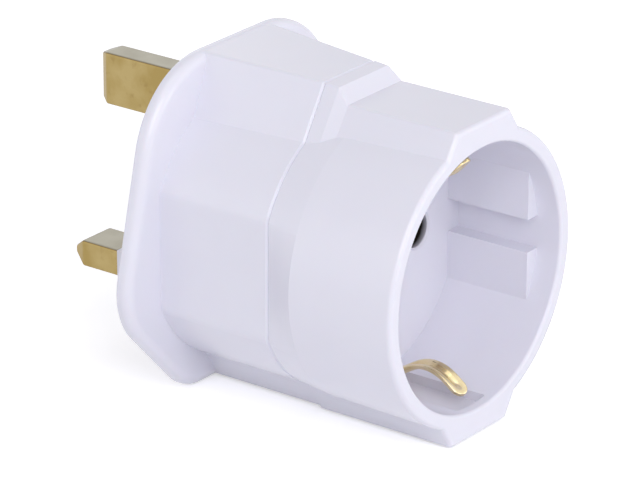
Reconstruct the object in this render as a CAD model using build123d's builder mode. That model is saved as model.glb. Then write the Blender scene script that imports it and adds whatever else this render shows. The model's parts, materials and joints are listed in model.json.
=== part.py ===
from build123d import *
import math
import os

os.makedirs("parts", exist_ok=True)

# Travel adapter, millimetres. The origin is on the socket's axis in the flat pin
# face. +Y points at the wall (the pins), the socket's mouth faces -Y, +Z is up
# (earth pin on top) and +X is the live side. Most sketches lie on planes across
# the body, Plane.XZ.offset(depth), where depth is the distance behind the pin face.

# Driving dimensions, outer form
SPLIT_DEPTH = 21.3
FLOOR_DEPTH = SPLIT_DEPTH + 5.3
RECESS_DEPTH = 17.9
BODY_LENGTH = FLOOR_DEPTH + RECESS_DEPTH
FLANGE_THICK = 2.35
FLANGE_TOP_Z, FLANGE_TOP_X = 26.6, 19.0
FLANGE_SIDE_X, FLANGE_SIDE_Z = 27.4, -8.3
FLANGE_BOTTOM_X, FLANGE_BOTTOM_Z = 12.6, -23.8
FLANGE_RADII = [14.6, 11.0, 7.5]
FLANGE_FRONT_ROUND = 1.5
FLANGE_BACK_ROUND = 0.4
BODY_R = 21.0
BODY_FLAT_X = BODY_R - 2.0
BODY_CORNER_R = 3.0
SHELL_WALL = 2.2
SPLIT_CHAMFER = 0.3
BARREL_R_BACK = BODY_R + 0.6
BARREL_R_RIM = BODY_R + 0.9
BARREL_ROUND_DEPTH = FLOOR_DEPTH + 0.4
RIDGE_R = 0.5
RIM_ROUND = 0.7
MOUTH_ROUND = 0.5

# Ridges above and below the round body: half width of the flat and its height
REAR_TOP_HALF, REAR_TOP_Z = 7.8, BODY_R + 5.5
COLLAR_HALF, COLLAR_Z = 5.8, BODY_R + 4.7
COLLAR_END_DEPTH = SPLIT_DEPTH + 2.5
SLOPE_END_DEPTH = SPLIT_DEPTH + 4.5
RIDGE_HALF, RIDGE_TOP_Z = 6.33, BODY_R + 2.5
REAR_LOW_HALF, REAR_LOW_Z = 6.0, -BODY_R - 2.5
FRONT_LOW_HALF, FRONT_LOW_Z = 6.6, -BODY_R - 2.55
RIDGE_FOOT_X, RIDGE_FOOT_Z = 11.9, BODY_R - 5.0

# Recess of the round socket
RECESS_R = BARREL_R_RIM - 2.3
FLOOR_THICK = 2.5
BLOCK_X = RECESS_R - 2.6
BLOCK_END_DEPTH = BODY_LENGTH - 4.0
GROOVE_WIDTH = 5.0
POCKET_HALF = 3.5
POCKET_Z = RECESS_R + 1.1
POCKET_END_DEPTH = BODY_LENGTH - 1.6
CONTACT_X = 9.5
CONTACT_HOLE_R = 2.7
CONTACT_HOLE_CHAMFER = 0.3

# Rectangular pins of the plug side
EARTH_Z = 15.9
EARTH_W, EARTH_H, EARTH_LEN = 4.0, 8.0, 22.6
PIN_X = 11.115
PIN_Z = EARTH_Z - 22.23
PIN_W, PIN_H, PIN_LEN = 6.35, 4.0, 17.8
PIN_EDGE = 0.3
SLEEVE_LEN = 9.5
SLEEVE_WALL = 0.5
BACK_WALL = 3.0
HEAD_DEPTH = BACK_WALL + 2.0
STUD_R = 1.1
STUD_HEAD_R = STUD_R + 0.7
STUD_HEAD_H = 0.6

# Inside parts
SCREW_RING, SCREW_ANGLE = BODY_R - 4.66, math.radians(31.75)
SCREW_X = SCREW_RING * math.sin(SCREW_ANGLE)
SCREW_Z = SCREW_RING * math.cos(SCREW_ANGLE)
SCREW_HEAD_R, SCREW_SHANK_R = 2.6, 1.3
SCREW_HOLE_R = SCREW_SHANK_R + 0.3
BOSS_R = SCREW_HEAD_R + 0.2
HEAD_SINK = 0.5
HEAD_SEAT = 1.6
CARRIER_BASE = SPLIT_DEPTH - 1.9
CARRIER_TOP = CARRIER_BASE - 2.0
LIP_GAP = 0.1
LIP_WALL = 1.0
STRAP = 0.5
EARTH_STRAP = 0.6
CLIP_WIDTH = 4.0
FUSE_DEPTH, FUSE_Z = HEAD_DEPTH + 1.3, SCREW_Z - 7.3
FUSE_R, FUSE_LEN, CAP_LEN, CAP_WALL = 3.175, 25.4, 6.35, 0.225
CAP_END = 0.4
FUSE_CLIP_X = (FUSE_LEN / 2 - 5.0, FUSE_LEN / 2)
CLIP_BASE_DEPTH = FUSE_DEPTH + FUSE_R + 1.175
WINDOW_W, WINDOW_H = FUSE_LEN + 2.6, 2 * FUSE_R + 1.65
CARRIER_GAP = 0.1
TULIP_R, TULIP_BORE_R = 3.0, 2.45
TULIP_TOP = CLIP_BASE_DEPTH + STRAP / 2 + 0.3
LUG_DEPTH, LUG_THICK = TULIP_TOP + 2.3, 0.6
RIVET_R, RIVET_Z, EARTH_RIVET_Z = 1.1, 6.7, 8.0

FLOOR_BACK = FLOOR_DEPTH - FLOOR_THICK
TULIP_END = FLOOR_BACK - 0.2
STRIP_LEG_Z = POCKET_Z - 0.95
FUSE_RIVET_X = FUSE_CLIP_X[0] - 2.5


def across(depth):
    """Plane across the body at a depth behind the pin face, normal to the mouth."""
    return Plane.XZ.offset(depth)


def body_outline(plane, inset=0.0):
    """Circle with two side flats and rounded corners, set in by inset."""
    with BuildSketch(plane) as outline:
        Circle(BODY_R - inset)
        flats = 2 * (BODY_FLAT_X - inset)
        Rectangle(flats, 3 * BODY_R, mode=Mode.INTERSECT)
        fillet(outline.vertices(), max(BODY_CORNER_R - inset, 0.6))
    return outline.sketch


def housing_outline(plane, half, z, foot_x, foot_z, ridge=RIDGE_R):
    """Trapezoid rising from inside the body to a flat ridge of half width half."""
    with BuildSketch(plane) as outline:
        with BuildLine():
            Polyline(
                (-foot_x, foot_z),
                (foot_x, foot_z),
                (half, z),
                (-half, z),
                close=True,
            )
        make_face()
        if ridge:
            tops = outline.vertices().group_by(Axis.Z)[-1 if z > foot_z else 0]
            fillet(tops, ridge)
    return outline.sketch


def set_in(half, z, foot_x, foot_z):
    """The same trapezoid drawn in by the joint's chamfer."""
    step = math.copysign(SPLIT_CHAMFER, z)
    return half - SPLIT_CHAMFER / 2, z - step, foot_x - SPLIT_CHAMFER, foot_z


def round_outline(plane, radius):
    """Circle cut in eight arcs that answer the eight edges of body_outline."""
    corner_x = BODY_FLAT_X - BODY_CORNER_R
    corner_z = math.sqrt((BODY_R - BODY_CORNER_R) ** 2 - corner_x**2)
    corner = math.degrees(math.atan2(corner_z, BODY_FLAT_X))
    shoulder = math.degrees(math.atan2(corner_z, corner_x))
    marks = [
        shoulder,
        180 - shoulder,
        180 - corner,
        180 + corner,
        180 + shoulder,
        360 - shoulder,
        360 - corner,
        360 + corner,
    ]
    with BuildSketch(plane) as outline:
        with BuildLine():
            for start, stop in zip(marks, marks[1:] + [marks[0] + 360]):
                CenterArc((0, 0), radius, start, stop - start)
        make_face()
    return outline.sketch


def parallel(points, distance):
    """Polyline moved sideways by distance, with mitred corners."""
    moved = []
    for i, (x, y) in enumerate(points):
        before = points[max(i - 1, 0)]
        after = points[min(i + 1, len(points) - 1)]
        normals = []
        for (x0, y0), (x1, y1) in ((before, (x, y)), ((x, y), after)):
            run = math.hypot(x1 - x0, y1 - y0)
            if run > 1e-9:
                normals.append((-(y1 - y0) / run, (x1 - x0) / run))
        nx = sum(n[0] for n in normals) / len(normals)
        ny = sum(n[1] for n in normals) / len(normals)
        scale = distance / (nx * nx + ny * ny)
        moved.append((x + nx * scale, y + ny * scale))
    return moved


# Rear shell: the flange with the pin face, the rear half of the body, four screw
# bosses, the slots of the pins and the window of the fuse
with BuildPart() as rear_shell:
    with BuildSketch(across(0)) as flange:
        with BuildLine():
            right = [
                (FLANGE_TOP_X, FLANGE_TOP_Z),
                (FLANGE_SIDE_X, FLANGE_SIDE_Z),
                (FLANGE_BOTTOM_X, FLANGE_BOTTOM_Z),
            ]
            left = [(-x, z) for x, z in reversed(right)]
            Polyline(*right, *left, close=True)
        make_face()
        for (cx, cz), radius in zip(right, FLANGE_RADII):
            for side in (1, -1):
                at = (side * cx, cz)
                fillet(flange.vertices().sort_by_distance(at)[0], radius)
    extrude(amount=FLANGE_THICK)
    front_edges = rear_shell.faces().sort_by(Axis.Y)[0].edges()
    fillet(front_edges, FLANGE_FRONT_ROUND)
    back_edges = rear_shell.faces().sort_by(Axis.Y)[-1].edges()
    fillet(back_edges, FLANGE_BACK_ROUND)
    # Body behind the flange; its last layer is set in for the joint's V groove
    root = FLANGE_THICK / 2
    low = (RIDGE_FOOT_X - 0.6, 0.5 - RIDGE_FOOT_Z)
    groove_start = SPLIT_DEPTH - SPLIT_CHAMFER
    extrude(body_outline(across(root)), amount=groove_start - root)
    first = body_outline(across(groove_start))
    last = body_outline(across(SPLIT_DEPTH), SPLIT_CHAMFER)
    loft([first, last], ruled=True)
    first = housing_outline(across(root), REAR_LOW_HALF, REAR_LOW_Z, *low)
    extrude(first, amount=groove_start - root)
    first = housing_outline(across(groove_start), REAR_LOW_HALF, REAR_LOW_Z, *low)
    last = housing_outline(across(SPLIT_DEPTH), *set_in(REAR_LOW_HALF, REAR_LOW_Z, *low))
    loft([first, last], ruled=True)
    foot = (RIDGE_FOOT_X, RIDGE_FOOT_Z)
    first = housing_outline(across(root), REAR_TOP_HALF, REAR_TOP_Z, *foot)
    last = housing_outline(across(groove_start), COLLAR_HALF, COLLAR_Z, *foot)
    loft([first, last], ruled=True)
    first = housing_outline(across(groove_start), COLLAR_HALF, COLLAR_Z, *foot)
    last = housing_outline(across(SPLIT_DEPTH), *set_in(COLLAR_HALF, COLLAR_Z, *foot))
    loft([first, last], ruled=True)
    # Inner space, with a hollow under each ridge
    high = (COLLAR_HALF - 1.2, COLLAR_Z - 2.1, RIDGE_FOOT_X - 2.9, RIDGE_FOOT_Z - 2.0)
    deep = (REAR_LOW_HALF - 1.8, REAR_LOW_Z + 2.2, RIDGE_FOOT_X - 3.9, 2.0 - RIDGE_FOOT_Z)
    hollows = [
        body_outline(across(BACK_WALL), SHELL_WALL),
        housing_outline(across(BACK_WALL), *high, 0),
        housing_outline(across(BACK_WALL), *deep, 0),
    ]
    for hollow in hollows:
        extrude(hollow, amount=SPLIT_DEPTH, mode=Mode.SUBTRACT)
    with BuildSketch(across(BACK_WALL / 2)):
        with GridLocations(2 * SCREW_X, 2 * SCREW_Z, 2, 2):
            Circle(BOSS_R)
    extrude(amount=CARRIER_TOP - BACK_WALL / 2)
    with BuildSketch(across(0)):
        with GridLocations(2 * SCREW_X, 2 * SCREW_Z, 2, 2):
            Circle(SCREW_HOLE_R)
    extrude(amount=CARRIER_TOP, mode=Mode.SUBTRACT)
    with BuildSketch(across(0)):
        with GridLocations(2 * SCREW_X, 2 * SCREW_Z, 2, 2):
            Circle(BOSS_R)
    extrude(amount=HEAD_SEAT, mode=Mode.SUBTRACT)
    with BuildSketch(across(0)):
        with Locations((0, EARTH_Z)):
            Rectangle(EARTH_W, EARTH_H)
        with Locations((PIN_X, PIN_Z), (-PIN_X, PIN_Z)):
            Rectangle(PIN_W, PIN_H)
        with Locations((0, FUSE_Z)):
            RectangleRounded(WINDOW_W, WINDOW_H, 1.0)
    extrude(amount=BACK_WALL, mode=Mode.SUBTRACT)
rear_shell.part.label = "rear_shell"
export_step(rear_shell.part, "parts/rear_shell.step")

# Front shell: the collar at the joint, the barrel with its two ridges, the socket
# recess with guide blocks and clip pockets, and the locating lip
with BuildPart() as front_shell:
    # The first layer is set in, so that a V groove runs along the joint
    groove_end = SPLIT_DEPTH + SPLIT_CHAMFER
    first = body_outline(across(SPLIT_DEPTH), SPLIT_CHAMFER)
    last = body_outline(across(groove_end))
    loft([first, last], ruled=True)
    first = body_outline(across(groove_end))
    last = round_outline(across(BARREL_ROUND_DEPTH), BARREL_R_BACK)
    loft([first, last], ruled=True)
    first = round_outline(across(BARREL_ROUND_DEPTH), BARREL_R_BACK)
    last = round_outline(across(BODY_LENGTH), BARREL_R_RIM)
    loft([first, last], ruled=True)
    # Top ridge: the collar's height, then a slope down to the barrel's height
    foot = (RIDGE_FOOT_X, RIDGE_FOOT_Z)
    slim = (RIDGE_FOOT_X - 0.9, RIDGE_FOOT_Z + 0.5)
    first = housing_outline(across(SPLIT_DEPTH), *set_in(COLLAR_HALF, COLLAR_Z, *foot))
    last = housing_outline(across(groove_end), COLLAR_HALF, COLLAR_Z, *foot)
    loft([first, last], ruled=True)
    first = housing_outline(across(groove_end), COLLAR_HALF, COLLAR_Z, *foot)
    last = housing_outline(across(COLLAR_END_DEPTH), COLLAR_HALF, COLLAR_Z - 0.2, *foot)
    loft([first, last], ruled=True)
    first = housing_outline(across(COLLAR_END_DEPTH), COLLAR_HALF, COLLAR_Z - 0.2, *foot)
    last = housing_outline(across(SLOPE_END_DEPTH), RIDGE_HALF, RIDGE_TOP_Z, *slim)
    loft([first, last], ruled=True)
    extrude(last, amount=BODY_LENGTH - SLOPE_END_DEPTH)
    # Bottom ridge, one height all along
    low = (RIDGE_FOOT_X - 0.6, -RIDGE_FOOT_Z)
    first = housing_outline(across(SPLIT_DEPTH), *set_in(FRONT_LOW_HALF, FRONT_LOW_Z, *low))
    last = housing_outline(across(groove_end), FRONT_LOW_HALF, FRONT_LOW_Z, *low)
    loft([first, last], ruled=True)
    extrude(last, amount=BODY_LENGTH - groove_end)
    rim_edges = front_shell.faces().sort_by(Axis.Y)[0].outer_wire().edges()
    fillet(rim_edges, RIM_ROUND)
    # Recess: a full circle at the mouth, chord faces with a groove further in
    with BuildSketch(across(BLOCK_END_DEPTH)):
        Circle(RECESS_R)
    extrude(amount=BODY_LENGTH, mode=Mode.SUBTRACT)
    with BuildSketch(across(FLOOR_DEPTH)):
        Rectangle(2 * BLOCK_X, 3 * RECESS_R)
        Rectangle(3 * RECESS_R, GROOVE_WIDTH)
        Circle(RECESS_R, mode=Mode.INTERSECT)
    extrude(amount=BLOCK_END_DEPTH - FLOOR_DEPTH, mode=Mode.SUBTRACT)
    with BuildSketch(across(FLOOR_DEPTH)):
        Rectangle(2 * POCKET_HALF, 2 * POCKET_Z)
    extrude(amount=POCKET_END_DEPTH - FLOOR_DEPTH, mode=Mode.SUBTRACT)
    mouth = front_shell.faces().sort_by(Axis.Y)[0].inner_wires()[0].edges()
    fillet(mouth, MOUTH_ROUND)
    # Rear hollow with a lip that enters the rear shell, and the strip's channel
    lip = body_outline(across(CARRIER_BASE), SHELL_WALL + LIP_GAP)
    extrude(lip, amount=SPLIT_DEPTH - CARRIER_BASE)
    hollow = body_outline(across(CARRIER_BASE), SHELL_WALL + LIP_GAP + LIP_WALL)
    extrude(hollow, amount=FLOOR_BACK - CARRIER_BASE, mode=Mode.SUBTRACT)
    with BuildSketch(across(CARRIER_BASE)):
        Rectangle(CLIP_WIDTH + 0.8, 2 * STRIP_LEG_Z + 1.5)
    extrude(amount=FLOOR_BACK - CARRIER_BASE, mode=Mode.SUBTRACT)
    # Screw bosses cut off at the lip's outer face, and rings round the contacts
    with BuildSketch(across(CARRIER_BASE)):
        with GridLocations(2 * SCREW_X, 2 * SCREW_Z, 2, 2):
            Circle(BOSS_R)
        Circle(BODY_R - SHELL_WALL - LIP_GAP, mode=Mode.INTERSECT)
    extrude(amount=FLOOR_BACK - CARRIER_BASE)
    with BuildSketch(across(CARRIER_BASE)):
        with GridLocations(2 * SCREW_X, 2 * SCREW_Z, 2, 2):
            Circle(SCREW_SHANK_R + 0.02)
    extrude(amount=FLOOR_BACK + 0.8 - CARRIER_BASE, mode=Mode.SUBTRACT)
    with BuildSketch(across(SPLIT_DEPTH)):
        with Locations((CONTACT_X, 0), (-CONTACT_X, 0)):
            Circle(TULIP_R + 1.1)
            Circle(TULIP_R + 0.1, mode=Mode.SUBTRACT)
    extrude(amount=FLOOR_BACK - SPLIT_DEPTH)
    # Holes of the floor: contacts, the strip's two ends, the earth rivet's head
    with BuildSketch(across(FLOOR_BACK)):
        with Locations((CONTACT_X, 0), (-CONTACT_X, 0)):
            Circle(CONTACT_HOLE_R)
        with Locations((0, STRIP_LEG_Z - 0.15), (0, 0.15 - STRIP_LEG_Z)):
            Rectangle(CLIP_WIDTH + 0.6, EARTH_STRAP + 1.0)
    extrude(amount=FLOOR_THICK, mode=Mode.SUBTRACT)
    for side in (1, -1):
        at = Vector(side * CONTACT_X, -FLOOR_DEPTH, 0)
        rims = front_shell.edges().filter_by(GeomType.CIRCLE).sort_by_distance(at)
        chamfer(rims[0], CONTACT_HOLE_CHAMFER)
    with BuildSketch(across(FLOOR_BACK)):
        with Locations((0, EARTH_RIVET_Z)):
            Circle(RIVET_R + 0.8)
    extrude(amount=0.6, mode=Mode.SUBTRACT)
front_shell.part.label = "front_shell"
export_step(front_shell.part, "parts/front_shell.step")

# Earth pin: rectangular brass pin with bevelled tip, an inner head and a stud
with BuildPart() as earth_pin:
    with BuildSketch(across(0)):
        with Locations((0, EARTH_Z)):
            Rectangle(EARTH_W, EARTH_H)
    extrude(amount=-EARTH_LEN)
    chamfer(earth_pin.edges().filter_by(Axis.Y), PIN_EDGE)
    tip = earth_pin.faces().sort_by(Axis.Y)[-1]
    chamfer(tip.edges().filter_by(Axis.Z), 1.0)
    tip = earth_pin.faces().sort_by(Axis.Y)[-1]
    chamfer(tip.edges().filter_by(Axis.X), 0.75)
    with BuildSketch(across(0)):
        with Locations((0, EARTH_Z)):
            Rectangle(EARTH_W, EARTH_H)
    extrude(amount=BACK_WALL)
    with BuildSketch(across(BACK_WALL)):
        with Locations((0, EARTH_Z)):
            Rectangle(EARTH_W + 2.6, EARTH_H + 2.0)
    extrude(amount=HEAD_DEPTH - BACK_WALL)
    with BuildSketch(across(HEAD_DEPTH)):
        with Locations((0, EARTH_Z + 1.0)):
            Circle(STUD_R)
    extrude(amount=EARTH_STRAP)
    with BuildSketch(across(HEAD_DEPTH + EARTH_STRAP)):
        with Locations((0, EARTH_Z + 1.0)):
            Circle(STUD_HEAD_R)
    extrude(amount=STUD_HEAD_H)
    chamfer(earth_pin.faces().sort_by(Axis.Y)[0].edges(), 0.3)
earth_pin.part.label = "earth_pin"
export_step(earth_pin.part, "parts/earth_pin.step")

# Live and neutral pins: brass blades with a bevelled tip, a waist under the
# insulating sleeve, an inner head and a stud that is upset over the strap
for name, side in (("line_pin", 1), ("neutral_pin", -1)):
    with BuildPart() as pin:
        with BuildSketch(across(-SLEEVE_LEN)):
            with Locations((side * PIN_X, PIN_Z)):
                Rectangle(PIN_W, PIN_H)
        extrude(amount=-(PIN_LEN - SLEEVE_LEN))
        chamfer(pin.edges().filter_by(Axis.Y), PIN_EDGE)
        tip = pin.faces().sort_by(Axis.Y)[-1]
        chamfer(tip.edges().filter_by(Axis.X), 1.3)
        tip = pin.faces().sort_by(Axis.Y)[-1]
        chamfer(tip.edges().filter_by(Axis.Z), 1.2)
        with BuildSketch(across(BACK_WALL)):
            with Locations((side * PIN_X, PIN_Z)):
                Rectangle(PIN_W - 2 * SLEEVE_WALL, PIN_H - 2 * SLEEVE_WALL)
        extrude(amount=-(SLEEVE_LEN + BACK_WALL))
        with BuildSketch(across(BACK_WALL)):
            with Locations((side * PIN_X, PIN_Z)):
                Rectangle(PIN_W + 1.15, PIN_H + 1.2)
        extrude(amount=HEAD_DEPTH - BACK_WALL)
        with BuildSketch(across(HEAD_DEPTH)):
            with Locations((side * PIN_X, PIN_Z)):
                Circle(STUD_R)
        extrude(amount=STRAP)
        with BuildSketch(across(HEAD_DEPTH + STRAP)):
            with Locations((side * PIN_X, PIN_Z)):
                Circle(STUD_HEAD_R)
        extrude(amount=STUD_HEAD_H)
        chamfer(pin.faces().sort_by(Axis.Y)[0].edges(), 0.3)
    pin.part.label = name
    export_step(pin.part, f"parts/{name}.step")

    # White sleeve flush with the blade, let into the pin face's wall
    with BuildPart() as sleeve:
        with BuildSketch(across(-SLEEVE_LEN)):
            with Locations((side * PIN_X, PIN_Z)):
                Rectangle(PIN_W, PIN_H)
                rim = (PIN_W - 2 * SLEEVE_WALL, PIN_H - 2 * SLEEVE_WALL)
                Rectangle(*rim, mode=Mode.SUBTRACT)
        extrude(amount=SLEEVE_LEN + BACK_WALL)
    sleeve.part.label = f"{name}_sleeve"
    export_step(sleeve.part, f"parts/{name}_sleeve.step")

# Earth strip: one band of brass on the back of the recess floor whose two ends
# pass through the floor and arch into the socket as sprung clips
CLIP_APEX = (FLOOR_DEPTH + 9.7, STRIP_LEG_Z - 6.45)
CLIP_TIP = (FLOOR_DEPTH + 15.3, STRIP_LEG_Z - 1.0)
clip_line = [
    (-FLOOR_BACK + EARTH_STRAP / 2, 0.0),
    (-FLOOR_BACK + EARTH_STRAP / 2, -STRIP_LEG_Z),
    (-FLOOR_DEPTH - 1.1, -STRIP_LEG_Z),
    (-CLIP_APEX[0], -CLIP_APEX[1]),
    (-CLIP_TIP[0], -CLIP_TIP[1]),
]
bead_line = parallel(clip_line, 0.3)[2:]


def between(a, b, share):
    """Point on the line from a to b."""
    return a[0] + (b[0] - a[0]) * share, a[1] + (b[1] - a[1]) * share


bead_line[0] = between(bead_line[0], bead_line[1], 0.3)
bead_line[-1] = between(bead_line[-1], bead_line[-2], 0.3)
with BuildPart() as earth_strip:
    for flip in (1, -1):
        with BuildSketch(Plane.YZ.offset(-CLIP_WIDTH / 2)):
            with BuildLine() as path:
                points = [(y, flip * z) for y, z in clip_line]
                FilletPolyline(*points, radius=[0.9, 3.0, 4.5])
            trace(line_width=EARTH_STRAP)
        extrude(amount=CLIP_WIDTH)
        # Pressed rib along the middle of the arch, on its inner side
        with BuildSketch(Plane.YZ.offset(-0.6)):
            with BuildLine() as path:
                points = [(y, flip * z) for y, z in bead_line]
                FilletPolyline(*points, radius=4.2)
            trace(line_width=EARTH_STRAP)
        extrude(amount=1.2)
        ends = earth_strip.edges().filter_by(GeomType.LINE)
        at = Vector(0, -CLIP_TIP[0], -flip * CLIP_TIP[1])
        corners = [
            e
            for e in ends
            if e.length < 1 and abs(abs((e @ 0.5).X) - CLIP_WIDTH / 2) < 0.01
            and abs((e @ 0.5).Y - at.Y) < 0.6
        ]
        fillet([e for e in corners if (e @ 0.5).Z * at.Z > 0], 1.5)
    with BuildSketch(across(FLOOR_BACK - EARTH_STRAP)):
        with Locations((0, EARTH_RIVET_Z)):
            Circle(RIVET_R)
    extrude(amount=EARTH_STRAP, mode=Mode.SUBTRACT)
earth_strip.part.label = "earth_strip"
export_step(earth_strip.part, "parts/earth_strip.step")

# Earth link: bent strap from the earth pin's stud to the earth strip
LINK_Z = FUSE_Z + WINDOW_H / 2 + 1.9
LINK_WIDTH = 5.0
FOOT_DEPTH = FLOOR_BACK - 1.5 * EARTH_STRAP
link_line = [
    (-HEAD_DEPTH - EARTH_STRAP / 2, EARTH_Z + 3.3),
    (-HEAD_DEPTH - EARTH_STRAP / 2, LINK_Z),
    (-FOOT_DEPTH, LINK_Z),
    (-FOOT_DEPTH, EARTH_RIVET_Z - 2.4),
]
with BuildPart() as earth_link:
    with BuildSketch(Plane.YZ.offset(-LINK_WIDTH / 2)):
        with BuildLine():
            FilletPolyline(*link_line, radius=0.8)
        trace(line_width=EARTH_STRAP)
    extrude(amount=LINK_WIDTH)
    with BuildSketch(across(HEAD_DEPTH)):
        with Locations((0, EARTH_Z + 1.0)):
            Circle(STUD_R)
    extrude(amount=EARTH_STRAP, mode=Mode.SUBTRACT)
    with BuildSketch(across(FLOOR_BACK - 2 * EARTH_STRAP)):
        with Locations((0, EARTH_RIVET_Z)):
            Circle(RIVET_R)
    extrude(amount=EARTH_STRAP, mode=Mode.SUBTRACT)
earth_link.part.label = "earth_link"
export_step(earth_link.part, "parts/earth_link.step")


def rivet(x, z, top, bottom, shank=RIVET_R, head=RIVET_R + 0.6, height=0.45):
    """Rivet along Y with a chamfered head beyond each end of its grip."""
    with BuildPart() as body:
        with BuildSketch(across(top)):
            with Locations((x, z)):
                Circle(shank)
        extrude(amount=bottom - top)
        with BuildSketch(across(top - height)):
            with Locations((x, z)):
                Circle(head)
        extrude(amount=height)
        with BuildSketch(across(bottom)):
            with Locations((x, z)):
                Circle(head)
        extrude(amount=height)
        chamfer(body.faces().sort_by(Axis.Y)[0].edges(), 0.25)
        chamfer(body.faces().sort_by(Axis.Y)[-1].edges(), 0.25)
    return body.part


# Rivets: earth link to strip, and each strap to the lug of its contact
LUG_GRIP = (LUG_DEPTH - STRAP, LUG_DEPTH + LUG_THICK)
CLIP_GRIP = (CLIP_BASE_DEPTH - STRAP / 2, CLIP_BASE_DEPTH + 1.5 * STRAP)
RIVETS = {
    "earth_rivet": (0, EARTH_RIVET_Z, FLOOR_BACK - 2 * EARTH_STRAP, FLOOR_BACK),
    "line_rivet": (CONTACT_X, RIVET_Z, *LUG_GRIP),
    "neutral_rivet": (-CONTACT_X, -RIVET_Z, *LUG_GRIP),
    "fuse_clip_rivet": (-FUSE_RIVET_X, FUSE_Z, *CLIP_GRIP),
}
for name, (x, z, top, bottom) in RIVETS.items():
    made = rivet(x, z, top, bottom)
    made.label = name
    export_step(made, f"parts/{name}.step")

# Tulip contacts: slotted brass tubes behind the two holes, each with a flat lug
for name, side, flip in (("line_contact", 1, 1), ("neutral_contact", -1, -1)):
    with BuildPart() as contact:
        with BuildSketch(across(TULIP_TOP)):
            with Locations((side * CONTACT_X, 0)):
                Circle(TULIP_R)
        extrude(amount=TULIP_END - TULIP_TOP)
        with BuildSketch(across(LUG_DEPTH)):
            with Locations((side * CONTACT_X, flip * 4.25)):
                RectangleRounded(4.0, 2 * (RIVET_Z + 1.8 - 4.25), 0.8)
        extrude(amount=LUG_THICK)
        with BuildSketch(across(TULIP_TOP)):
            with Locations((side * CONTACT_X, 0)):
                Circle(TULIP_BORE_R)
        extrude(amount=TULIP_END - TULIP_TOP, mode=Mode.SUBTRACT)
        slit_start = LUG_DEPTH + LUG_THICK + 1.4
        with BuildSketch(across(slit_start)):
            with Locations((side * CONTACT_X, 0)):
                Rectangle(2 * TULIP_R + 1, 0.6, rotation=45)
                Rectangle(2 * TULIP_R + 1, 0.6, rotation=-45)
        extrude(amount=TULIP_END - slit_start, mode=Mode.SUBTRACT)
        with BuildSketch(across(LUG_DEPTH)):
            with Locations((side * CONTACT_X, flip * RIVET_Z)):
                Circle(RIVET_R)
        extrude(amount=LUG_THICK, mode=Mode.SUBTRACT)
    contact.part.label = name
    export_step(contact.part, f"parts/{name}.step")

# Neutral strap: from the neutral pin's stud to the neutral contact's lug
RUN_Z = -TULIP_R - 0.8
neutral_line = [
    (-HEAD_DEPTH - STRAP / 2, PIN_Z - 2.3),
    (-HEAD_DEPTH - STRAP / 2, RUN_Z),
    (-LUG_DEPTH + STRAP / 2, RUN_Z),
    (-LUG_DEPTH + STRAP / 2, -RIVET_Z - 1.7),
]
with BuildPart() as neutral_strap:
    with BuildSketch(Plane.YZ.offset(-PIN_X - 1.9)):
        with BuildLine():
            FilletPolyline(*neutral_line, radius=0.6)
        trace(line_width=STRAP)
    extrude(amount=PIN_X - CONTACT_X + 3.6)
    with BuildSketch(across(HEAD_DEPTH)):
        with Locations((-PIN_X, PIN_Z)):
            Circle(STUD_R)
    extrude(amount=STRAP, mode=Mode.SUBTRACT)
    with BuildSketch(across(LUG_DEPTH - STRAP)):
        with Locations((-CONTACT_X, -RIVET_Z)):
            Circle(RIVET_R)
    extrude(amount=STRAP, mode=Mode.SUBTRACT)
neutral_strap.part.label = "neutral_strap"
export_step(neutral_strap.part, "parts/neutral_strap.step")

# Fuse clip of the live pin: U spring round the fuse's cap, with a tab on the stud
arm_low = FUSE_Z - FUSE_R - STRAP / 2 - 0.025
arm_high = FUSE_Z + FUSE_R + STRAP / 2 + 0.025
line_clip = [
    (-FUSE_DEPTH + 2.0, arm_high + 0.55),
    (-FUSE_DEPTH + 0.8, arm_high),
    (-CLIP_BASE_DEPTH, arm_high),
    (-CLIP_BASE_DEPTH, arm_low),
    (-HEAD_DEPTH - STRAP / 2, arm_low),
    (-HEAD_DEPTH - STRAP / 2, PIN_Z - 2.3),
]
with BuildPart() as fuse_clip_line:
    with BuildSketch(Plane.YZ.offset(FUSE_CLIP_X[0])):
        with BuildLine():
            FilletPolyline(*line_clip, radius=[1.0, 0.7, 0.7, 0.5])
        trace(line_width=STRAP)
    extrude(amount=PIN_X + STUD_R + 0.485 - FUSE_CLIP_X[0])
    with BuildSketch(across(HEAD_DEPTH)):
        with Locations((PIN_X, PIN_Z)):
            Circle(STUD_R)
    extrude(amount=STRAP, mode=Mode.SUBTRACT)
fuse_clip_line.part.label = "fuse_clip_line"
export_step(fuse_clip_line.part, "parts/fuse_clip_line.step")

# Fuse clip of the load side, with a tongue for the rivet
load_clip = [
    (-FUSE_DEPTH + 2.0, arm_high + 0.55),
    (-FUSE_DEPTH + 0.8, arm_high),
    (-CLIP_BASE_DEPTH, arm_high),
    (-CLIP_BASE_DEPTH, arm_low),
    (-FUSE_DEPTH - 0.1, arm_low),
]
with BuildPart() as fuse_clip_load:
    with BuildSketch(Plane.YZ.offset(-FUSE_CLIP_X[1])):
        with BuildLine():
            FilletPolyline(*load_clip, radius=[1.0, 0.7, 0.7])
        trace(line_width=STRAP)
    extrude(amount=FUSE_CLIP_X[1] - FUSE_CLIP_X[0])
    with BuildSketch(across(CLIP_BASE_DEPTH - STRAP / 2)):
        with Locations((-(FUSE_CLIP_X[0] + FUSE_RIVET_X - 1.5) / 2, FUSE_Z)):
            Rectangle(FUSE_CLIP_X[0] - FUSE_RIVET_X + 2.2, 4.4)
    extrude(amount=STRAP)
    with BuildSketch(across(CLIP_BASE_DEPTH - STRAP / 2)):
        with Locations((-FUSE_RIVET_X, FUSE_Z)):
            Circle(RIVET_R)
    extrude(amount=STRAP, mode=Mode.SUBTRACT)
fuse_clip_load.part.label = "fuse_clip_load"
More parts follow.
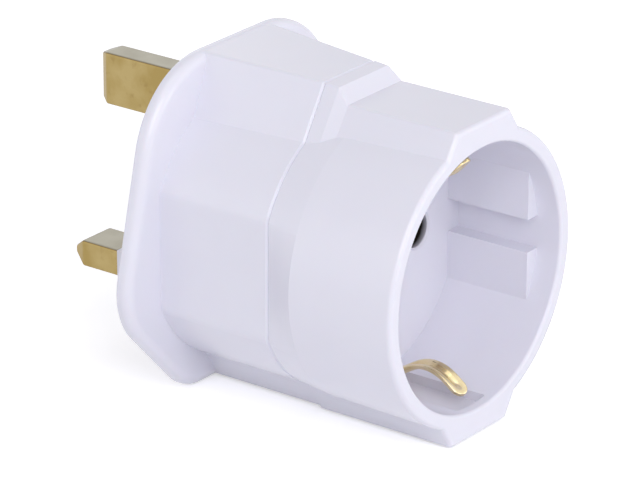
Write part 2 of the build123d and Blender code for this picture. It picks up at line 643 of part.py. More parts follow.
export_step(fuse_clip_load.part, "parts/fuse_clip_load.step")

# Line strap: from the load-side fuse clip across to the live contact's lug
line_strap_line = [
    (-FUSE_RIVET_X - 2.4, -CLIP_BASE_DEPTH - STRAP),
    (-FUSE_RIVET_X + 2.6, -CLIP_BASE_DEPTH - STRAP),
    (-FUSE_RIVET_X + 4.7, -LUG_DEPTH + STRAP / 2),
    (CONTACT_X + 2.0, -LUG_DEPTH + STRAP / 2),
]
with BuildPart() as line_strap:
    with BuildSketch(Plane.XY.offset(5.0)):
        with BuildLine():
            FilletPolyline(*line_strap_line, radius=0.8)
        trace(line_width=STRAP)
    extrude(amount=3.4)
    with BuildSketch(across(CLIP_BASE_DEPTH + STRAP / 2)):
        with Locations((-FUSE_RIVET_X, FUSE_Z)):
            Circle(RIVET_R)
    extrude(amount=STRAP, mode=Mode.SUBTRACT)
    with BuildSketch(across(LUG_DEPTH - STRAP)):
        with Locations((CONTACT_X, RIVET_Z)):
            Circle(RIVET_R)
    extrude(amount=STRAP, mode=Mode.SUBTRACT)
line_strap.part.label = "line_strap"
export_step(line_strap.part, "parts/line_strap.step")

# Fuse: ceramic tube with a metal cap on each end, lying along X
with BuildPart() as fuse_body:
    with BuildSketch(Plane.YZ.offset(-FUSE_LEN / 2 + CAP_END)):
        with Locations((-FUSE_DEPTH, FUSE_Z)):
            Circle(FUSE_R - CAP_WALL)
            Circle(1.9, mode=Mode.SUBTRACT)
    extrude(amount=FUSE_LEN - 2 * CAP_END)
fuse_body.part.label = "fuse_body"
export_step(fuse_body.part, "parts/fuse_body.step")
for name, side in (("fuse_cap_line", 1), ("fuse_cap_load", -1)):
    with BuildPart() as cap:
        with BuildSketch(Plane.YZ.offset(side * (FUSE_LEN / 2 - CAP_LEN))):
            with Locations((-FUSE_DEPTH, FUSE_Z)):
                Circle(FUSE_R)
        extrude(amount=side * CAP_LEN)
        end = cap.faces().filter_by(Axis.X).sort_by(Axis.X)[-1 if side > 0 else 0]
        fillet(end.edges(), 0.35)
        with BuildSketch(Plane.YZ.offset(side * (FUSE_LEN / 2 - CAP_LEN))):
            with Locations((-FUSE_DEPTH, FUSE_Z)):
                Circle(FUSE_R - CAP_WALL)
        extrude(amount=side * (CAP_LEN - CAP_END), mode=Mode.SUBTRACT)
    cap.part.label = name
    export_step(cap.part, f"parts/{name}.step")

# Fuse carrier: plate in the window of the pin face, with a cradle round the tube
PLATE_END = BACK_WALL - 0.8
with BuildPart() as fuse_carrier:
    with BuildSketch(across(0.2)):
        with Locations((0, FUSE_Z)):
            plate = (WINDOW_W - 2 * CARRIER_GAP, WINDOW_H - 2 * CARRIER_GAP)
            RectangleRounded(*plate, 0.9)
    extrude(amount=PLATE_END - 0.2)
    with BuildSketch(across(PLATE_END)):
        with Locations((0, FUSE_Z)):
            Rectangle(FUSE_LEN - 2 * CAP_LEN - 2.7, WINDOW_H - 0.4)
    extrude(amount=FUSE_DEPTH - PLATE_END)
    with BuildSketch(Plane.YZ.offset(-FUSE_LEN / 4)):
        with Locations((-FUSE_DEPTH, FUSE_Z)):
            Circle(FUSE_R - CAP_WALL + 0.03)
    extrude(amount=FUSE_LEN / 2, mode=Mode.SUBTRACT)
    with BuildSketch(across(0.2)):
        with Locations((WINDOW_W / 2 - 1.4, FUSE_Z)):
            Rectangle(1.4, 4.0)
    extrude(amount=1.0, mode=Mode.SUBTRACT)
fuse_carrier.part.label = "fuse_carrier"
export_step(fuse_carrier.part, "parts/fuse_carrier.step")

# Contact carrier: insulating plate clamped between the screw bosses of the shells
with BuildPart() as contact_carrier:
    with BuildSketch(across(CARRIER_TOP)):
        Circle(BODY_R - SHELL_WALL - 1.5 * LIP_GAP)
        flat = 2 * (BODY_FLAT_X - SHELL_WALL - 1.5 * LIP_GAP)
        Rectangle(flat, 3 * BODY_R, mode=Mode.INTERSECT)
        with Locations((CONTACT_X, 0), (-CONTACT_X, 0)):
            Circle(TULIP_R + 0.05, mode=Mode.SUBTRACT)
        with Locations((0, LINK_Z)):
            Rectangle(LINK_WIDTH + 0.6, 2 * EARTH_STRAP, mode=Mode.SUBTRACT)
        with GridLocations(2 * SCREW_X, 2 * SCREW_Z, 2, 2):
            Circle(SCREW_HOLE_R, mode=Mode.SUBTRACT)
    extrude(amount=CARRIER_BASE - CARRIER_TOP)
contact_carrier.part.label = "contact_carrier"
export_step(contact_carrier.part, "parts/contact_carrier.step")

# Four housing screws: pan head with a cross recess, and a shank
corners = [(-1, -1), (1, -1), (-1, 1), (1, 1)]
for number, (side, flip) in enumerate(corners, start=1):
    at = (side * SCREW_X, flip * SCREW_Z)
    with BuildPart() as screw:
        with BuildSketch(across(HEAD_SINK)):
            with Locations(at):
                Circle(SCREW_HEAD_R)
        extrude(amount=HEAD_SEAT - HEAD_SINK)
        fillet(screw.faces().sort_by(Axis.Y)[-1].edges(), 0.5)
        with BuildSketch(across(HEAD_SEAT)):
            with Locations(at):
                Circle(SCREW_SHANK_R)
        extrude(amount=FLOOR_BACK + 0.3 - HEAD_SEAT)
        chamfer(screw.faces().sort_by(Axis.Y)[0].edges(), 0.5)
        with BuildSketch(across(HEAD_SINK)):
            with Locations(at):
                Rectangle(2.6, 0.6)
                Rectangle(0.6, 2.6)
        extrude(amount=0.7, mode=Mode.SUBTRACT)
    screw.part.label = f"housing_screw_{number}"
    export_step(screw.part, f"parts/housing_screw_{number}.step")
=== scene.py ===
import json
import math

import bpy
import numpy as np
from mathutils import Matrix, Vector


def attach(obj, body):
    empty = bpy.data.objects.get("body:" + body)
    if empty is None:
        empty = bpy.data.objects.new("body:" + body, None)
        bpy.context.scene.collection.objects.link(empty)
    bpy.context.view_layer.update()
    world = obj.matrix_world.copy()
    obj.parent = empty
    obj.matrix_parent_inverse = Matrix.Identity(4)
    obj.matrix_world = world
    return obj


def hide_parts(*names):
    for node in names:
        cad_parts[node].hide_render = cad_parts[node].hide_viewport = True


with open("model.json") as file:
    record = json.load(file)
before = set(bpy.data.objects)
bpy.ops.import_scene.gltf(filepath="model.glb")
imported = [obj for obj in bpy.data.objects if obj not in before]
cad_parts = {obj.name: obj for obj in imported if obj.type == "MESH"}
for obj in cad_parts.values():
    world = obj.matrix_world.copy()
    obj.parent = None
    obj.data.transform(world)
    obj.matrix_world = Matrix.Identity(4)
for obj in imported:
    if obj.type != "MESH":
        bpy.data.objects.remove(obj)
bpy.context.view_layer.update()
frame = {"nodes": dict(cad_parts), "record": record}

# Sizes below are written in millimetres and turned to metres by MM
MM = 0.001

# The contact holes in the recess floor, in metres: half their spacing, the radius of
# their walls, and from where to where along Y painted shade darkens the plastic walls,
# and behind them the insides of the contacts, each over the fade's depth
CONTACT_X = 9.5 * MM
HOLE_R = 2.8 * MM
HOLE_FADE = 1.0 * MM
WALL_SHADE = (-26.4 * MM, -23.0 * MM)
CONTACT_SHADE = (-24.4 * MM, -4.0 * MM)


# Materials
def srgb(code):
    """An sRGB hex colour as linear values and an alpha of 1: below 0.04045 divide by
    12.92, above it ((v + 0.055) / 1.055) to the power 2.4."""
    values = [int(code[i : i + 2], 16) / 255 for i in (1, 3, 5)]
    linear = [
        v / 12.92 if v <= 0.04045 else ((v + 0.055) / 1.055) ** 2.4 for v in values
    ]
    return (*linear, 1.0)


def per_mm(width):
    """Noise scale whose features are about width millimetres across: one noise cell
    is one unit of the scaled coordinate, and coordinates are in metres."""
    return 1 / (width * MM)


def add(tree, kind, settings=None, inputs=None, links=None):
    """Adds one node with its settings, its input values and its incoming links, and
    gives back its outputs."""
    node = tree.nodes.new("ShaderNode" + kind)
    for key, value in (settings or {}).items():
        setattr(node, key, value)
    for key, value in (inputs or {}).items():
        node.inputs[key].default_value = value
    for key, source in (links or {}).items():
        tree.links.new(source, node.inputs[key])
    return node.outputs


def start(name):
    """A new node material with no nodes yet."""
    material = bpy.data.materials.new(name)
    material.use_nodes = True
    material.node_tree.nodes.clear()
    return material, material.node_tree


# Settings that several nodes share; a colour mix's result is its output MIXED
COLOURS = {"data_type": "RGBA"}
MIXED = 2
TIMES, BELOW = {"operation": "MULTIPLY"}, {"operation": "LESS_THAN"}
MIRROR, MINUS = {"operation": "ABSOLUTE"}, {"operation": "SUBTRACT"}
LENGTH, EITHER = {"operation": "LENGTH"}, {"operation": "MAXIMUM"}


def paint_hole_shade(tree, place, colour, shade_tone, depths):
    """Painted shade inside the two contact holes: a dark tone where the distance from a
    hole's axis, sqrt((|x| - CONTACT_X)^2 + z^2), is under HOLE_R and y lies between the
    two depths. The real floor is thin there, and the shade of the inside is painted."""
    both = add(tree, "VectorMath", MIRROR, links={0: place})
    middle = {1: (CONTACT_X, 0, 0)}
    off = add(tree, "VectorMath", MINUS, middle, {0: both[0]})
    flat = add(tree, "VectorMath", TIMES, {1: (1, 0, 1)}, {0: off[0]})
    away = add(tree, "VectorMath", LENGTH, links={0: flat[0]})
    near = add(tree, "Math", BELOW, {1: HOLE_R}, {0: away["Value"]})
    depth = add(tree, "SeparateXYZ", links={0: place})["Y"]
    fade = {"From Min": depths[0], "From Max": depths[0] + HOLE_FADE}
    deep = add(tree, "MapRange", inputs=fade, links={"Value": depth})
    front = add(tree, "Math", BELOW, {1: depths[1]}, {0: depth})
    wall = add(tree, "Math", TIMES, links={0: near[0], 1: deep[0]})
    share = add(tree, "Math", TIMES, links={0: wall[0], 1: front[0]})
    return add(tree, "Mix", COLOURS, {7: srgb(shade_tone)}, {0: share[0], 6: colour})[MIXED]


def moulded_plastic(name, light, dark, rough, glow=0.05, hole_shade=None):
    """Injection-moulded plastic: an even colour with a trace of flow clouds about
    9 mm wide that also vary its gloss, a skin of 0.7 mm ripples too low to see but
    in reflections, and a little light that sinks in and comes out within a
    millimetre or two. The hole tone, if given, is painted shade on the contact holes'
    walls."""
    material, tree = start(name)
    place = add(tree, "TexCoord")["Object"]
    cloud, grain = {"Scale": per_mm(9.0)}, {"Scale": per_mm(0.7), "Detail": 3.0}
    flow = add(tree, "TexNoise", inputs=cloud, links={"Vector": place})["Fac"]
    skin = add(tree, "TexNoise", inputs=grain, links={"Vector": place})["Fac"]
    dull = {"To Min": rough - 0.02, "To Max": rough + 0.01}
    gloss = add(tree, "MapRange", inputs=dull, links={"Value": flow})
    tones = {6: srgb(dark), 7: srgb(light)}
    colour = add(tree, "Mix", COLOURS, tones, {0: flow})[MIXED]
    # painted shade on the walls of the contact holes
    if hole_shade:
        colour = paint_hole_shade(tree, place, colour, hole_shade, WALL_SHADE)
    height = {"Strength": 0.05, "Distance": 0.2 * MM}
    waves = add(tree, "Bump", inputs=height, links={"Height": flow})
    height = {"Strength": 0.02, "Distance": 0.004 * MM}
    links = {"Height": skin, "Normal": waves[0]}
    ripple = add(tree, "Bump", inputs=height, links=links)
    body = {"IOR": 1.5, "Subsurface Weight": glow, "Subsurface Scale": 1.5 * MM}
    links = {"Base Color": colour, "Roughness": gloss[0], "Normal": ripple[0]}
    shader = add(tree, "BsdfPrincipled", inputs=body, links=links)
    add(tree, "OutputMaterial", links={"Surface": shader[0]})
    return material


def drawn_metal(
    name, light, dark, rough, stretch, line_width=0.35, stains_and_sheen=None, hole_shade=None
):
    """Drawn or rolled metal: fine lines line_width apart along the pull, and patches 4
    mm wide where the shine has dulled. Three more tones may add stains in spots about
    1.5 mm wide, brown on the edges' rounding, and a painted reflection: grey on the
    faces that look up. The hole tone, if given, is painted shade inside the contacts."""
    material, tree = start(name)
    coordinates = add(tree, "TexCoord")
    place = coordinates["Object"]
    pull = add(tree, "Mapping", inputs={"Scale": stretch}, links={"Vector": place})
    fine = {"Scale": per_mm(line_width), "Detail": 3.0}
    lines = add(tree, "TexNoise", inputs=fine, links={"Vector": pull[0]})["Fac"]
    wide = {"Scale": per_mm(4.0), "Detail": 4.0}
    patches = add(tree, "TexNoise", inputs=wide, links={"Vector": place})["Fac"]
    middle = {"From Min": 0.35, "From Max": 0.65}
    shine = add(tree, "MapRange", inputs=middle, links={"Value": patches})
    tones = {6: srgb(dark), 7: srgb(light)}
    colour = add(tree, "Mix", COLOURS, tones, {0: shine[0]})[MIXED]
    if stains_and_sheen:
        stain, edge, top_sheen = (srgb(code) for code in stains_and_sheen)
        small = {"Scale": per_mm(1.5), "Detail": 5.0}
        spots = add(tree, "TexNoise", inputs=small, links={"Vector": place})["Fac"]
        few = {"From Min": 0.6, "From Max": 0.75, "To Max": 0.3}
        share = add(tree, "MapRange", inputs=few, links={"Value": spots})
        colour = add(tree, "Mix", COLOURS, {7: stain}, {0: share[0], 6: colour})[MIXED]
        # painted reflection: the faces that look up turn grey, and their edges'
        # rounding takes the brown tone
        # the normal's height: an edge's rounding lies between a side's 0 and a top's 1
        upward = add(tree, "SeparateXYZ", links={0: coordinates["Normal"]})["Z"]
        top = {"From Min": 0.55, "From Max": 0.85}
        share = add(tree, "MapRange", inputs=top, links={"Value": upward})
        edge_and_sheen = add(tree, "Mix", COLOURS, {6: edge, 7: top_sheen}, {0: share[0]})[MIXED]
        turned = {"From Min": 0.3, "From Max": 0.6, "To Max": 0.9}
        share = add(tree, "MapRange", inputs=turned, links={"Value": upward})
        links = {0: share[0], 6: colour, 7: edge_and_sheen}
        colour = add(tree, "Mix", COLOURS, links=links)[MIXED]
    # painted shade inside the contacts
    if hole_shade:
        colour = paint_hole_shade(tree, place, colour, hole_shade, CONTACT_SHADE)
    dull = {
        "From Min": 0.3,
        "From Max": 0.7,
        "To Min": rough - 0.05,
        "To Max": rough + 0.07,
    }
    gloss = add(tree, "MapRange", inputs=dull, links={"Value": patches})
    height = {"Strength": 0.20, "Distance": 0.03 * MM}
    relief = add(tree, "Bump", inputs=height, links={"Height": lines})
    links = {"Base Color": colour, "Roughness": gloss[0], "Normal": relief[0]}
    shader = add(tree, "BsdfPrincipled", inputs={"Metallic": 1.0}, links=links)
    add(tree, "OutputMaterial", links={"Surface": shader[0]})
    return material


# Polycarbonate moulded in a polished tool: cool white, glossy, reflections soft; the
# dark tone is painted shade on the contact holes' walls
shell_white = moulded_plastic(
    "glossy_moulded_polycarbonate", "#E8E7F2", "#E5E4EF", 0.26, hole_shade="#2E2A26"
)
# Nylon moulded over the blades: a shade warmer and duller than the shell
sleeve_white = moulded_plastic("moulded_nylon_sleeve", "#E6E4EC", "#DEDCE5", 0.38)
# Urea moulding that carries the contacts: matt grey-cream, seen by nobody in use
carrier_grey = moulded_plastic("moulded_urea_insulator", "#CFCBC2", "#C4C0B6", 0.5, 0.0)
# Fired steatite tube of the fuse: matt, chalky, cream
fuse_ceramic = moulded_plastic(
    "fired_steatite_ceramic", "#E6E0D2", "#DCD5C4", 0.62, 0.0
)
# Drawn brass bar, tumbled: golden, satin, with handling stains, brown edges and a
# painted grey reflection on the faces that look up
pin_brass = drawn_metal(
    "drawn_pin_brass",
    "#B19D6B",
    "#A28C56",
    0.34,
    (1.0, 0.07, 1.0),
    0.5,
    stains_and_sheen=("#7C5F36", "#6A5028", "#8C8A80"),
)
# Rolled spring brass, bright dipped: pale gold, sharp glints; the dark tone is painted
# shade inside the contacts
clip_brass = drawn_metal(
    "bright_rolled_spring_brass",
    "#F0E0B8",
    "#E2CC96",
    0.2,
    (1.0, 0.12, 0.3),
    hole_shade="#2A2218",
)
# Nickel-plated brass cap of the fuse: smooth, slightly warm grey
cap_nickel = drawn_metal(
    "nickel_plated_cap", "#C9C6BF", "#B8B4AA", 0.19, (0.1, 1.0, 1.0)
)
# Zinc-plated steel screw: cool grey, turned, dull
screw_zinc = drawn_metal(
    "zinc_plated_steel", "#BFC2C6", "#A6A9AF", 0.36, (1.0, 1.0, 1.0)
)

finishes = {
    "shell_plastic": shell_white,
    "sleeve_plastic": sleeve_white,
    "carrier_plastic": carrier_grey,
    "pin_brass": pin_brass,
    "clip_brass": clip_brass,
    "cap_nickel": cap_nickel,
    "screw_steel": screw_zinc,
    "fuse_ceramic": fuse_ceramic,
}
slots = {s["node"]: s["material_slot"] for s in frame["record"]["subparts"]}
for node, body in frame["nodes"].items():
    body.data.materials.clear()
    body.data.materials.append(finishes[slots[node]])


# Surfaces, in millimetres until the mesh is made. Faces larger than FLAT_AREA square
# millimetres are shaded flat
FLAT_AREA = 0.8


def rounded_line(corners, cuts, steps=10):
    """A line through corner points whose corners are rounded: each corner P with cut
    c becomes the parabola (1-t)^2 (P - c u) + 2 t (1-t) P + t^2 (P + c v), where u
    and v are the unit directions of the runs that meet there."""
    corners = np.asarray(corners, float)
    runs = np.diff(corners, axis=0)
    runs /= np.linalg.norm(runs, axis=1)[:, None]
    t = np.linspace(0, 1, steps)[None, :, None]
    middle = corners[1:-1, None]
    cuts = np.asarray(cuts, float)[:, None, None]
    first = middle - cuts * runs[:-1, None]
    last = middle + cuts * runs[1:, None]
    arcs = (1 - t) ** 2 * first + 2 * t * (1 - t) * middle + t**2 * last
    inner = arcs.reshape(-1, corners.shape[1])
    return np.vstack([corners[:1], inner, corners[-1:]])


def respaced(line, spacing):
    """The same line with points spacing apart: each coordinate is interpolated over
    the length along the line."""
    steps = np.linalg.norm(np.diff(line, axis=0), axis=1)
    along = np.concatenate([[0], np.cumsum(steps)])
    even = np.linspace(0, along[-1], int(along[-1] / spacing) + 2)
    return np.column_stack([np.interp(even, along, axis) for axis in line.T]), even


def surface(name, grids, node, slot):
    """A piece from closed skins. Each is a grid of rings, grid[i, j] being point j of
    ring i: the rings are joined by quads, and one face closes each end. Faces over
    FLAT_AREA square millimetres are flat, so that only edges and bends are smooth."""
    points, faces = [], []
    for grid in grids:
        rings, around = grid.shape[:2]
        base = sum(len(part) for part in points)
        i, j = np.meshgrid(np.arange(rings - 1), np.arange(around), indexing="ij")
        here, there = base + i * around, base + (i + 1) * around
        k = (j + 1) % around
        quads = np.stack([here + j, here + k, there + k, there + j], -1)
        last = base + (rings - 1) * around + np.arange(around)
        faces += quads.reshape(-1, 4).tolist()
        faces += [(base + np.arange(around))[::-1].tolist(), last.tolist()]
        points.append(grid.reshape(-1, 3))
    mesh = bpy.data.meshes.new(name)
    mesh.from_pydata((np.vstack(points) * MM).tolist(), [], faces)
    mesh.update()
    areas = np.zeros(len(mesh.polygons))
    mesh.polygons.foreach_get("area", areas)
    mesh.polygons.foreach_set("use_smooth", areas < FLAT_AREA * MM**2)
    piece = bpy.data.objects.new(name, mesh)
    bpy.context.scene.collection.objects.link(piece)
    mesh.materials.append(finishes[slot])
    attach(piece, "root")
    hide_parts(node)


# Earth strip: one band of spring brass behind the recess floor whose ends pass
# through it and arch into the socket, (Y, |Z|) of its centre line from the middle to
# each tip. The photograph shows the upper arch bent further in than the lower one
STRIP_MIDDLE = [(-23.8, 0.0), (-23.8, 19.75), (-27.0, 19.75)]
LOWER_ARCH = [(-36.1, 14.0), (-41.8, 18.3)]
UPPER_ARCH = [(-37.2, 12.6), (-41.6, 17.2)]
LOWER_CUTS, UPPER_CUTS = [1.2, 1.4, 4.6], [1.2, 1.4, 3.2]
STRIP_THICK = 0.6
RING_SPACING = 0.22
EDGE_ROUND = 0.16
# Widths of the leg and the arch, and how far from the tip one turns into the other
LEG_WIDTH, ARCH_WIDTH = 4.0, 3.0
WIDEN_FROM, WIDEN_OVER = 12.0, 5.0
TIP_RADIUS = 1.5
# Pressed rib: height, half width, and how far from the tip it rises and dies away,
# each with the length that it takes
RIB_HEIGHT, RIB_HALF = 0.42, 0.55
RIB_START, RIB_RISE = 0.6, 2.0
RIB_END, RIB_FALL = 15.5, 3.0
# The narrowest a ring gets, as a share of its full width's square
TIP_END = 0.02


def strip_outline(widths, ribs):
    """Rings of the strip's section, one for each width: a flat bar with rounded
    edges whose points are shifted by rib height times exp(-(x / rib half)^2), as a
    pressed rib shifts the sheet on both faces."""
    turn = np.radians([0, 30, 60, 90])
    half = STRIP_THICK / 2
    corner_x = EDGE_ROUND * (np.sin(turn) - 1)
    corner_n = EDGE_ROUND * (np.cos(turn) - 1)
    # across: -1 to 1 over the flat part of the face
    across = np.linspace(-1, 1, 25)
    flat = np.maximum(widths[:, None] / 2 - EDGE_ROUND, 0.02)
    top_x = flat * across[None]
    top_n = np.full_like(top_x, half)
    right_x = flat + (corner_x + EDGE_ROUND)[None, 1:]
    right_n = np.broadcast_to((half + corner_n)[None, 1:], right_x.shape)
    back_x, back_n = right_x[:, ::-1], right_n[:, ::-1]
    x = np.hstack([top_x, right_x, back_x, top_x[:, ::-1], -right_x, -back_x])
    n = np.hstack([top_n, right_n, -back_n, -top_n, -right_n, back_n])
    lift = ribs[:, None] * np.exp(-((x / RIB_HALF) ** 2))
    return x, n + lift


def arch_strip():
    """The band: its section's rings stand across the centre line, x along X and n
    along the line's left normal, which points at the socket's axis. Widths and rib
    change by the smooth step t^2 (3 - 2 t), and the tip's half circle is the width
    times sqrt(1 - (1 - d / TIP_RADIUS)^2) at distance d from it."""
    upper = rounded_line(STRIP_MIDDLE + UPPER_ARCH, UPPER_CUTS)
    lower = rounded_line(STRIP_MIDDLE + LOWER_ARCH, LOWER_CUTS)[::-1][:-1] * [1, -1]
    line, along = respaced(np.vstack([lower, upper]), RING_SPACING)
    toward = np.gradient(line, axis=0)
    toward /= np.linalg.norm(toward, axis=1)[:, None]
    normal = np.column_stack([toward[:, 1], -toward[:, 0]])
    # how far each ring is from the nearer tip
    left = np.minimum(along, along[-1] - along)
    wide = np.clip((left - WIDEN_FROM) / WIDEN_OVER, 0, 1)
    width = ARCH_WIDTH + (LEG_WIDTH - ARCH_WIDTH) * wide**2 * (3 - 2 * wide)
    inside = np.clip(1 - left / TIP_RADIUS, 0, 1)
    width = width * np.sqrt(np.maximum(1 - inside**2, TIP_END))
    rise = np.clip((left - RIB_START) / RIB_RISE, 0, 1)
    fall = np.clip((RIB_END - left) / RIB_FALL, 0, 1)
    fade = rise * fall
    x, n = strip_outline(width, RIB_HEIGHT * fade * fade * (3 - 2 * fade))
    y = line[:, :1] + n * normal[:, :1]
    z = line[:, 1:] + n * normal[:, 1:]
    # the rings run the other way round, so that the faces look outward
    return np.stack([x, y, z], -1)[:, ::-1]


surface("earth_clip_band", [arch_strip()], "earth_strip", "clip_brass")

# Pins: (Y, half width, half height) of each blade's corners, tip first, then the
# upset head inside the pin face; each corner is rounded by its cut
CORNER_ROUND = 0.32
EARTH_BLADE = [
    (22.6, 0.6, 3.0),
    (22.6, 1.0, 3.5),
    (21.2, 2.0, 4.0),
    (-3.0, 2.0, 4.0),
    (-3.0, 3.3, 5.0),
    (-5.0, 3.3, 5.0),
]
EARTH_CUTS = [0.2, 0.25, 0.05, 0.05]
POWER_BLADE = [
    (17.8, 1.95, 0.3),
    (17.8, 2.325, 0.55),
    (15.9, 3.175, 2.0),
    (9.5, 3.175, 2.0),
    (9.5, 2.675, 1.5),
    (-3.0, 2.675, 1.5),
    (-3.0, 3.75, 2.6),
    (-5.0, 3.75, 2.6),
]
POWER_CUTS = [0.2, 0.25, 0.12, 0.05, 0.05, 0.05]
# Studs upset over the straps: they start at the blades' back, and the edge of each
# head is cut by STUD_HEAD_CUT
STUD_START = -5.0
STUD_R, STUD_HEAD_R, STUD_HEAD_H, STUD_HEAD_CUT = 1.1, 1.8, 0.6, 0.6
EARTH_GRIP, POWER_GRIP = 0.6, 0.5
# Places of the pins' middles, and of the earth pin's stud
EARTH_Z, EARTH_STUD_Z = 15.9, 16.9
POWER_X, POWER_Z = 11.115, -6.33


def blade(corners, cuts, x, z):
    """Rings along Y. Each is a rectangle of the line's half width a and half height
    b with its corners rounded by r: the corner arc's point at angle t is
    (a - r + r cos t, b - r + r sin t), turned to the four corners by its signs."""
    y, a, b = rounded_line(corners, cuts, 6).T
    r = np.minimum(CORNER_ROUND, 0.8 * np.minimum(a, b))[:, None]
    t = np.radians(np.linspace(0, 90, 7))[None]
    out_x, out_z = (a[:, None] - r + r * np.cos(t)), (b[:, None] - r + r * np.sin(t))
    ring_x = np.hstack([out_x, -out_x[:, ::-1], -out_x, out_x[:, ::-1]])
    ring_z = np.hstack([out_z, out_z[:, ::-1], -out_z, -out_z[:, ::-1]])
    ring_y = np.broadcast_to(y[:, None], ring_x.shape)
    return np.stack([x + ring_x, ring_y, z + ring_z], -1)


def stud(x, z, grip):
    """The stud behind a pin's head, upset over the strap: rings of radius r at y,
    the point at angle t being (x + r cos t, y, z + r sin t)."""
    neck = STUD_START - grip
    end = neck - STUD_HEAD_H
    profile = [
        (STUD_START, STUD_R),
        (neck, STUD_R),
        (neck, STUD_HEAD_R),
        (end, STUD_HEAD_R),
        (end, STUD_HEAD_R - STUD_HEAD_CUT),
    ]
    y, r = rounded_line(profile, [0.02, 0.1, 0.25], 5).T
    t = np.linspace(0, 2 * np.pi, 32, endpoint=False)[None]
    ring_x, ring_z = x + r[:, None] * np.cos(t), z + r[:, None] * np.sin(t)
    ring_y = np.broadcast_to(y[:, None], ring_x.shape)
    return np.stack([ring_x, ring_y, ring_z], -1)


skins = [
    blade(EARTH_BLADE, EARTH_CUTS, 0, EARTH_Z),
    stud(0, EARTH_STUD_Z, EARTH_GRIP),
]
surface("earth_blade", skins, "earth_pin", "pin_brass")
for side, name in ((POWER_X, "line"), (-POWER_X, "neutral")):
    skins = [
        blade(POWER_BLADE, POWER_CUTS, side, POWER_Z),
        stud(side, POWER_Z, POWER_GRIP),
    ]
    surface(f"{name}_blade", skins, f"{name}_pin", "pin_brass")

# Camera at the photograph's place, fitted to the object's edges: its turns in
# radians, its place in metres, and its focal length and the picture's width in pixels
YAW, PITCH, ROLL = 0.929411432, -0.384034516, 0.003612814
EYE = (-0.4703037, -0.3674572, 0.2361775)
FOCAL_PX, PICTURE_PX = 4433.943, 640
SENSOR_WIDTH = 36.0
flat_part = math.cos(PITCH)
look = Vector((math.sin(YAW) * flat_part, math.cos(YAW) * flat_part, math.sin(PITCH)))
level = look.cross(Vector((0, 0, 1))).normalized()
over = level.cross(look)
right = level * math.cos(ROLL) + over * math.sin(ROLL)
up = over * math.cos(ROLL) - level * math.sin(ROLL)
lens = bpy.data.cameras.new("camera")
lens.sensor_width = SENSOR_WIDTH
lens.lens = FOCAL_PX / PICTURE_PX * SENSOR_WIDTH
lens.clip_start, lens.clip_end = 0.05, 20.0
camera = bpy.data.objects.new("camera", lens)
rows = [(right[i], up[i], -look[i], EYE[i]) for i in range(3)]
camera.matrix_world = Matrix((*rows, (0, 0, 0, 1)))
bpy.context.scene.collection.objects.link(camera)
bpy.context.scene.camera = camera


# Lamps: large soft boxes, whose light and the world's add up to about a plain level
MIDDLE = (0, -0.011, 0)
WORLD_LEVEL = 0.47


def soft_lamp(name, place, size, power):
    """A round soft box at place, size metres across, turned to the object's middle."""
    data = bpy.data.lights.new(name, "AREA")
    data.shape = "DISK"
    data.size = size
    data.energy = power
    lamp = bpy.data.objects.new(name, data)
    lamp.location = place
    lamp.rotation_mode = "QUATERNION"
    toward = Vector(MIDDLE) - Vector(place)
    lamp.rotation_quaternion = toward.to_track_quat("-Z", "Y")
    bpy.context.scene.collection.objects.link(lamp)


soft_lamp("top_lamp", (-0.10, -0.05, 0.60), 0.45, 0.4)
soft_lamp("main_lamp", (-0.42, -0.45, 0.38), 0.50, 2.0)
soft_lamp("front_lamp", (0.05, -0.65, 0.08), 0.50, 0.7)
soft_lamp("right_lamp", (0.40, -0.50, 0.25), 0.60, 0.62)
soft_lamp("back_lamp", (0.35, 0.50, 0.30), 0.45, 0.33)
soft_lamp("back_side_lamp", (-0.50, 0.40, 0.15), 0.45, 0.28)

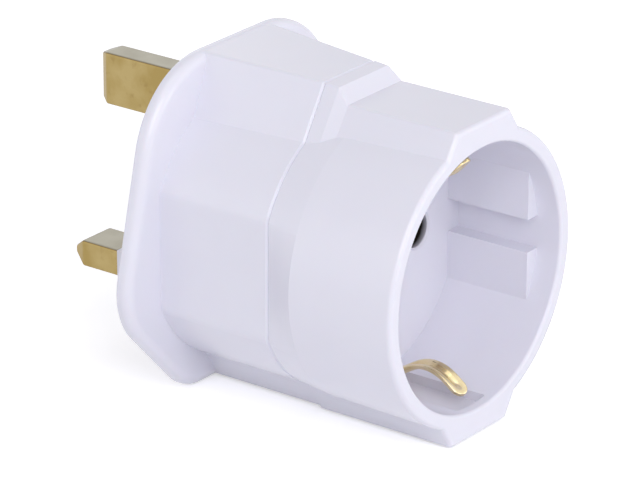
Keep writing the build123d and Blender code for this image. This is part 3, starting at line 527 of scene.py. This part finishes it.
# Floor: white paper that keeps the object's shadow. FLOOR_LIFT is added only where
# the floor is seen, also in a reflection, to match the backdrop's white, and more is
# added far from the object, where the lamps don't reach
FLOOR_LIFT, FAR_LIFT = 0.42, 0.62
NEAR, FAR = 0.15, 0.7
FLOOR_Z, FLOOR_HALF = -0.02385, 3


def shows_background(tree):
    """A value of 1 for the rays that show the background: the camera's, and those
    that a reflection or a clear body sends on. It is their largest value."""
    rays = add(tree, "LightPath")
    pair = {0: rays["Is Camera Ray"], 1: rays["Is Glossy Ray"]}
    pair = {0: add(tree, "Math", EITHER, links=pair)[0], 1: rays["Is Transmission Ray"]}
    return add(tree, "Math", EITHER, links=pair)[0]


floor_mesh = bpy.data.meshes.new("floor")
corners = ((-1, -1), (1, -1), (1, 1), (-1, 1))
sheet = [(FLOOR_HALF * x, FLOOR_HALF * y, FLOOR_Z) for x, y in corners]
floor_mesh.from_pydata(sheet, [], [(0, 1, 2, 3)])
floor = bpy.data.objects.new("floor", floor_mesh)
bpy.context.scene.collection.objects.link(floor)
material, tree = start("white_paper_floor")
away = add(tree, "VectorMath", LENGTH, links={0: add(tree, "TexCoord")["Object"]})
rise = {"From Min": NEAR, "From Max": FAR, "To Min": FLOOR_LIFT, "To Max": FAR_LIFT}
level = add(tree, "MapRange", inputs=rise, links={"Value": away["Value"]})
lift = add(tree, "Math", TIMES, links={0: shows_background(tree), 1: level[0]})
matt = add(tree, "BsdfDiffuse", inputs={"Color": srgb("#F6F6F8")})
glow = add(tree, "Emission", links={"Strength": lift[0]})
both = add(tree, "AddShader", links={0: matt[0], 1: glow[0]})
add(tree, "OutputMaterial", links={"Surface": both[0]})
floor_mesh.materials.append(material)

# World: soft light from everywhere, and a plain white where it is seen
world = bpy.data.worlds.new("studio")
bpy.context.scene.world = world
world.use_nodes = True
tree = world.node_tree
tree.nodes.clear()
soft = {"Color": srgb("#F4F4FA"), "Strength": WORLD_LEVEL}
soft = add(tree, "Background", inputs=soft)
white = add(tree, "Background", inputs={"Color": srgb("#FFFFFF"), "Strength": 1.0})
links = {0: shows_background(tree), 1: soft[0], 2: white[0]}
mixed = add(tree, "MixShader", links=links)
add(tree, "OutputWorld", links={"Surface": mixed[0]})

bpy.context.scene.view_settings.view_transform = "Standard"
